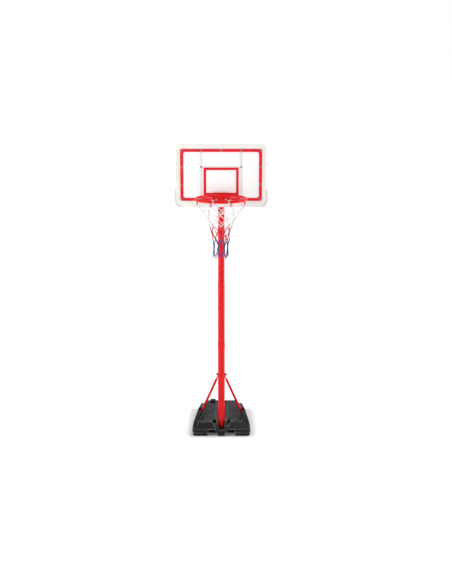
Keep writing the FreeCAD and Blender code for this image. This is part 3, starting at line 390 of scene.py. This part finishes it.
def new_object(name, verts, faces, uvs=None):
    mesh = bpy.data.meshes.new(name)
    mesh.from_pydata(verts, [], faces)
    if uvs:
        layer = mesh.uv_layers.new(name="UVMap")
        for loop, uv in zip(layer.data, uvs):
            loop.uv = uv
    mesh.shade_smooth()
    piece = bpy.data.objects.new(name, mesh)
    bpy.context.scene.collection.objects.link(piece)
    return piece


def path_tangents(path):
    """The direction of a path at each of its points."""
    last = len(path) - 1
    return [(path[min(k + 1, last)] - path[max(k - 1, 0)]).normalized() for k in range(len(path))]


class CordMesh:
    """Collects round cords along open paths into one mesh, with UVs round and along each cord."""

    def __init__(self):
        self.verts = []
        self.faces = []
        self.uvs = []

    def add(self, path, radius):
        tangents = path_tangents(path)
        side = tangents[0].orthogonal().normalized()
        along = 0.0
        rings = []
        for k, tangent in enumerate(tangents):
            if k > 0:
                along += (path[k] - path[k - 1]).length
            side = (side - tangent * side.dot(tangent)).normalized()
            first = self.add_ring(path[k], side, tangent.cross(side), radius)
            rings.append((first, along / BRAID_PITCH))
        for lower, upper in zip(rings, rings[1:]):
            self.add_band(lower, upper)
        self.add_cap(rings[0][0], True)
        self.add_cap(rings[-1][0], False)

    def add_ring(self, centre, side, up, radius):
        """A ring of points round the path. Gives the number of its first point."""
        first = len(self.verts)
        for j in range(CORD_SIDES):
            angle = 2.0 * math.pi * j / CORD_SIDES
            self.verts.append(centre + (side * math.cos(angle) + up * math.sin(angle)) * radius)
        return first

    def add_band(self, lower, upper):
        """The faces between two rings, each given as its first point and its V."""
        low, v_low = lower
        high, v_high = upper
        for j in range(CORD_SIDES):
            n = (j + 1) % CORD_SIDES
            self.faces.append((low + j, low + n, high + n, high + j))
            u_low = j / CORD_SIDES
            u_high = (j + 1) / CORD_SIDES
            self.uvs += [(u_low, v_low), (u_high, v_low), (u_high, v_high), (u_low, v_high)]

    def add_cap(self, first, flipped):
        loop = [first + j for j in range(CORD_SIDES)]
        self.faces.append(tuple(reversed(loop)) if flipped else tuple(loop))
        self.uvs += [(0.5, 0.0)] * CORD_SIDES

    def build(self, name):
        return new_object(name, self.verts, self.faces, self.uvs)


def dressed(piece, material, body):
    """The piece with its material and its body."""
    piece.data.materials.clear()
    piece.data.materials.append(material)
    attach(piece, body)
    return piece


def repaint(material, *nodes):
    """Gives CAD nodes a material in place of their plain one."""
    for name in nodes:
        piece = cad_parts[name]
        piece.data.materials.clear()
        piece.data.materials.append(material)


# Net

def net_radius(share):
    """The funnel's radius at a share of its length: wide at the ring, then a long narrow neck."""
    return NECK_RADIUS + (ring_radius - NECK_RADIUS) * (1.0 - share) ** 3 + NECK_FLARE * share


def column_angle(column):
    return 2.0 * math.pi * column / NET_COLUMNS


def column_axes(column):
    """The direction from the ring's centre out to a column, and the one across it along the ring."""
    angle = column_angle(column)
    outward = Vector((math.cos(angle), math.sin(angle), 0.0))
    across = Vector((-math.sin(angle), math.cos(angle), 0.0))
    return outward, across


def net_point(column, share, chance, looseness):
    """A point on the net, moved a little by chance."""
    angle = column_angle(column)
    radius = net_radius(share)
    drop = share * net_length
    angle += chance.uniform(-ANGLE_SCATTER, ANGLE_SCATTER) * looseness
    radius *= 1.0 + chance.uniform(-RADIUS_SCATTER, RADIUS_SCATTER) * looseness
    drop += chance.uniform(-DROP_SCATTER, DROP_SCATTER) * looseness
    return ring_centre + Vector((radius * math.cos(angle), radius * math.sin(angle),
                                 net_high.z - ring_centre.z - drop))


def smooth_path(points, steps=5):
    """A Catmull-Rom curve through the points."""
    ends = [points[0] * 2 - points[1]] + points + [points[-1] * 2 - points[-2]]
    path = []
    for a, b, c, d in zip(ends, ends[1:], ends[2:], ends[3:]):
        for k in range(steps):
            t = k / steps
            path.append(0.5 * ((2 * b) + (c - a) * t + (2 * a - 5 * b + 4 * c - d) * t * t
                               + (3 * b - a - 3 * c + d) * t ** 3))
    return path + [points[-1]]


def leg(cord, start, end, chance):
    """One side of a diamond, bowed a little by its slack."""
    middle = (start + end) / 2
    outward = Vector((middle.x - ring_centre.x, middle.y - ring_centre.y, 0.0)).normalized()
    bow = outward * chance.uniform(-BOW_SCATTER, BOW_SCATTER) + Vector((0.0, 0.0, -BOW_SAG))
    cord.add(smooth_path([start, middle + bow * CORD_SLACK * (end - start).length, end]), CORD_RADIUS)


def knot(cord, place):
    """Two wraps of cord round an upright axis, where two cords cross."""
    turns = 2.2
    points_per_turn = 10
    wrap_radius = 0.0027
    pitch = 0.0036
    path = []
    for k in range(round(turns * points_per_turn) + 1):
        angle = 2.0 * math.pi * k / points_per_turn
        rise = pitch * (k / points_per_turn - turns / 2)
        path.append(place + Vector((wrap_radius * math.cos(angle), wrap_radius * math.sin(angle), rise)))
    cord.add(path, KNOT_CORD_RADIUS)


def hook_loop(cord, column, left, right):
    """The cord that hangs over a hook: up outside the ring, over the wire and down inside it."""
    outward, across = column_axes(column)
    gap = HOOK_WIRE_RADIUS + CORD_RADIUS + HOOK_CLEARANCE
    crest = ring_centre + outward * ring_radius
    crest.z = hook_low + 2 * HOOK_WIRE_RADIUS + CORD_RADIUS + HOOK_CLEARANCE
    saddle = Vector((0.0, 0.0, -gap))
    below = Vector((0.0, 0.0, -3.2 * gap))
    cord.add(smooth_path([
        left,
        crest + outward * gap * 0.8 + below - across * LOOP_SPREAD,
        crest + outward * gap + saddle,
        crest,
        crest - outward * gap + saddle,
        crest - outward * gap * 0.8 + below + across * LOOP_SPREAD,
        right,
    ]), CORD_RADIUS)


def ring_lashing(cord, column, end):
    """A cord tied round the ring beside a hook, with its tail running down to a knot."""
    outward, across = column_axes(column)
    wrap = ring_tube_radius + CORD_RADIUS + RING_CLEARANCE
    centre = ring_centre + outward * ring_radius
    first_degrees = -80
    last_degrees = 280
    points = []
    for degrees in range(first_degrees, last_degrees + 1, 30):
        turn = math.radians(degrees)
        lean = across * LOOP_SPREAD * (degrees / last_degrees)
        points.append(centre + outward * wrap * math.cos(turn) + Vector((0, 0, wrap * math.sin(turn))) + lean)
    cord.add(smooth_path(points + [end]), CORD_RADIUS)


def low_loop(cord, column, left, right, chance):
    """A loose loop that hangs between two knots of the last row."""
    low = net_point(column, LOW_LOOP_SHARE, chance, LOW_LOOP_LOOSENESS)
    low.z = max(low.z, net_low.z + CORD_RADIUS)
    side = (right - left) * LOW_LOOP_SPREAD
    rise = Vector((0.0, 0.0, LOW_LOOP_RISE))
    cord.add(smooth_path([left, low - side + rise, low, low + side + rise, right]), CORD_RADIUS)


def knot_places(chance):
    """The knots, row by row from the top. Each second row is shifted by half a column."""
    rows = []
    for row, share in enumerate(KNOT_SHARES):
        shift = 0.5 * (row % 2)
        looseness = LOOSENESS_AT_TOP + LOOSENESS_GAIN * share
        rows.append([net_point(k + shift, share, chance, looseness) for k in range(NET_COLUMNS)])
    return rows


def row_colour(row):
    if row < FIRST_RED_ROW:
        return "white"
    return "red" if row < FIRST_BLUE_ROW else "blue"


def tie_net(cords, chance):
    """Runs the net's cords: over the hooks, through rows of diamonds and round each knot."""
    rows = knot_places(chance)
    top = rows[0]
    last = rows[-1]
    following = [(k + 1) % NET_COLUMNS for k in range(NET_COLUMNS)]
    for k in range(NET_COLUMNS):
        hook_loop(cords["white"], k + 0.5, top[k], top[following[k]])
    for row in range(1, len(rows)):
        above = rows[row - 1]
        cord = cords[row_colour(row)]
        step = -1 if row % 2 == 1 else 1
        for k in range(NET_COLUMNS):
            leg(cord, above[k], rows[row][k], chance)
            leg(cord, above[k], rows[row][(k + step) % NET_COLUMNS], chance)
    for row, places in enumerate(rows):
        for place in places:
            knot(cords[row_colour(row)], place)
    for k in range(NET_COLUMNS):
        low_loop(cords["blue"], k + 1.0, last[k], last[following[k]], chance)
    for side in (-1, 1):
        ring_lashing(cords["white"], FRONT_COLUMN + LASHING_OFFSET * side, top[FRONT_COLUMN])


def build_net():
    """A knotted diamond net in three colours, hung from the hooks and ending in loose loops."""
    colours = {
        "white": ((0.52, 0.52, 0.52), (0.86, 0.86, 0.85)),
        "red": ((0.36, 0.006, 0.02), (0.72, 0.03, 0.06)),
        "blue": ((0.008, 0.014, 0.11), (0.035, 0.06, 0.30)),
    }
    cords = {name: CordMesh() for name in colours}
    tie_net(cords, random.Random(12))
    for name, cord in cords.items():
        piece = cord.build("net_" + name)
        dressed(piece, braid("net_cord_" + name, *colours[name]), "mast")
        if name == "white":
            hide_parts("net")


# Stage, light and camera

def floor():
    """A pale floor that gives off a little light, less of it close beside the tank as a painted contact
    shadow.
    """
    material = Shader("floor")
    tone = material.noise(0.8, 2.0)
    material.colour(material.mix(tone, (0.90, 0.90, 0.90), (0.93, 0.93, 0.93)))
    material.rough(material.remap(material.noise(30.0, 3.0), 0.3, 0.7, 0.75, 0.9))
    tank_low, tank_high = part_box("base_tank")
    middle = (tank_low + tank_high) / 2
    half_size = (tank_high - tank_low) / 2
    x, y, _ = material.axes()
    outside = []
    for axis, centre, reach in ((x, middle.x, half_size.x), (y, middle.y, half_size.y)):
        away = material.maths("ABSOLUTE", material.maths("SUBTRACT", axis, centre))
        beyond = material.maths("MAXIMUM", material.maths("SUBTRACT", away, reach), 0.0)
        outside.append(material.maths("MULTIPLY", beyond, beyond))
    from_tank = material.maths("SQRT", material.maths("ADD", *outside))
    # Painted contact shadow: the floor's glow drops close beside the tank.
    contact_shadow_glow = material.remap(from_tank, 0.0, CONTACT_SHADOW_REACH, CONTACT_SHADOW_GLOW, FLOOR_GLOW)
    far_glow = material.remap(from_tank, FAR_GLOW_START, FAR_GLOW_END, 0.0, FLOOR_GLOW)
    glow = material.maths("ADD", contact_shadow_glow, far_glow)
    material.join(glow, material.surface.inputs["Emission Strength"])
    material.set(Emission_Color=(1.0, 1.0, 1.0, 1.0))
    half = FLOOR_HALF_WIDTH
    corners = [(-half, -half, 0.0), (half, -half, 0.0), (half, half, 0.0), (-half, half, 0.0)]
    ground = new_object("floor", [Vector(c) for c in corners], [(0, 1, 2, 3)])
    ground.data.materials.append(material.material)


def softbox(name, place, aim, width, height, watts):
    """A white area lamp that lights the object without being seen itself."""
    data = bpy.data.lights.new(name, "AREA")
    data.shape = "RECTANGLE"
    data.size = width
    data.size_y = height
    data.energy = watts
    lamp = bpy.data.objects.new(name, data)
    lamp.location = place
    lamp.visible_camera = False
    lamp.rotation_euler = (Vector(aim) - Vector(place)).to_track_quat("-Z", "Y").to_euler()
    bpy.context.scene.collection.objects.link(lamp)


def light_studio():
    """A white backdrop that is dimmer as a light than it looks, and soft lamps round the object."""
    world = bpy.data.worlds.new("studio")
    world.use_nodes = True
    tree = world.node_tree
    backdrop = tree.nodes["Background"]
    backdrop.inputs["Color"].default_value = (1.0, 1.0, 1.0, 1.0)
    seen = tree.nodes.new("ShaderNodeLightPath").outputs["Is Camera Ray"]
    strength = tree.nodes.new("ShaderNodeMapRange")
    strength.inputs["To Min"].default_value = AMBIENT
    strength.inputs["To Max"].default_value = 1.0
    tree.links.new(seen, strength.inputs["Value"])
    tree.links.new(strength.outputs["Result"], backdrop.inputs["Strength"])
    bpy.context.scene.world = world
    softbox("overhead", (0.9, -0.3, 4.0), (0.0, 0.0, 0.0), 1.8, 1.8, 34.0)
    softbox("left_panel", (-2.0, -1.2, 1.5), (0.0, 0.0, 1.1), 0.4, 2.8, 26.0)
    softbox("right_strip", (2.3, -0.35, 1.5), (0.0, 0.0, 1.0), 0.3, 2.8, 24.0)
    softbox("left_back", (-2.3, 0.6, 1.4), (0.0, 0.0, 1.0), 1.1, 2.6, 8.0)
    softbox("rear", (0.0, 3.2, 1.7), (0.0, 0.0, 0.4), 2.4, 1.0, 6.0)


def place_camera():
    """A camera in front, looking down a little at the middle of the hoop."""
    data = bpy.data.cameras.new("camera")
    data.sensor_width = SENSOR_MM
    camera = bpy.data.objects.new("camera", data)
    camera.location = (CAMERA_SIDE, -CAMERA_DISTANCE, CAMERA_HEIGHT)
    to_aim = Vector((CAMERA_SIDE, 0.0, CAMERA_AIM_HEIGHT)) - camera.location
    camera.rotation_euler = to_aim.to_track_quat("-Z", "Y").to_euler()
    data.lens = SENSOR_MM * to_aim.length / VIEW_HEIGHT_METRES
    data.clip_end = 100.0
    bpy.context.scene.collection.objects.link(camera)
    bpy.context.scene.camera = camera


def finish_cad_nodes():
    """Each CAD node's finish."""
    red = red_enamel()
    worn_red = red_enamel("red_enamel_worn", 0.35)
    plated = zinc()
    dark = zinc("dark_zinc", (0.16, 0.16, 0.17), (0.05, 0.05, 0.055), 0.35)
    cream = frame_plastic()
    satin_black = black_moulding()
    repaint(red, "lower_pole", "middle_pole", "strut_right", "strut_left", "knob_boss", "upper_bracket",
            "lower_bracket", "ring_bracket", "ring", "ring_rails", "net_hooks")
    repaint(worn_red, "upper_pole")
    repaint(plated, "pole_joint_screw", "seat_bolt", "seat_nut", "strut_foot_screws", "knob_stud",
            "guard_screws", "board_washers", "board_nuts", "bracket_screws", "bracket_bolts", "bracket_nuts",
            "ring_bolts", "ring_nuts")
    repaint(dark, "board_screws", "strut_bolt", "strut_nut", "strut_washers")
    repaint(cream, "board_frame", "corner_guard_right", "corner_guard_left")
    repaint(panel_sheet(), "board_panel")
    repaint(red_moulding("border_moulding"), "board_border")
    repaint(red_moulding("target_moulding"), "board_target")
    repaint(satin_black, "filler_cap", "pole_foot_plug", "pole_top_cap", "height_knob")
    repaint(rubber(), "cap_seal")
    repaint(tank_plastic(), "base_tank")


finish_cad_nodes()
build_net()
floor()
light_studio()
place_camera()
bpy.context.scene.view_settings.view_transform = "Standard"
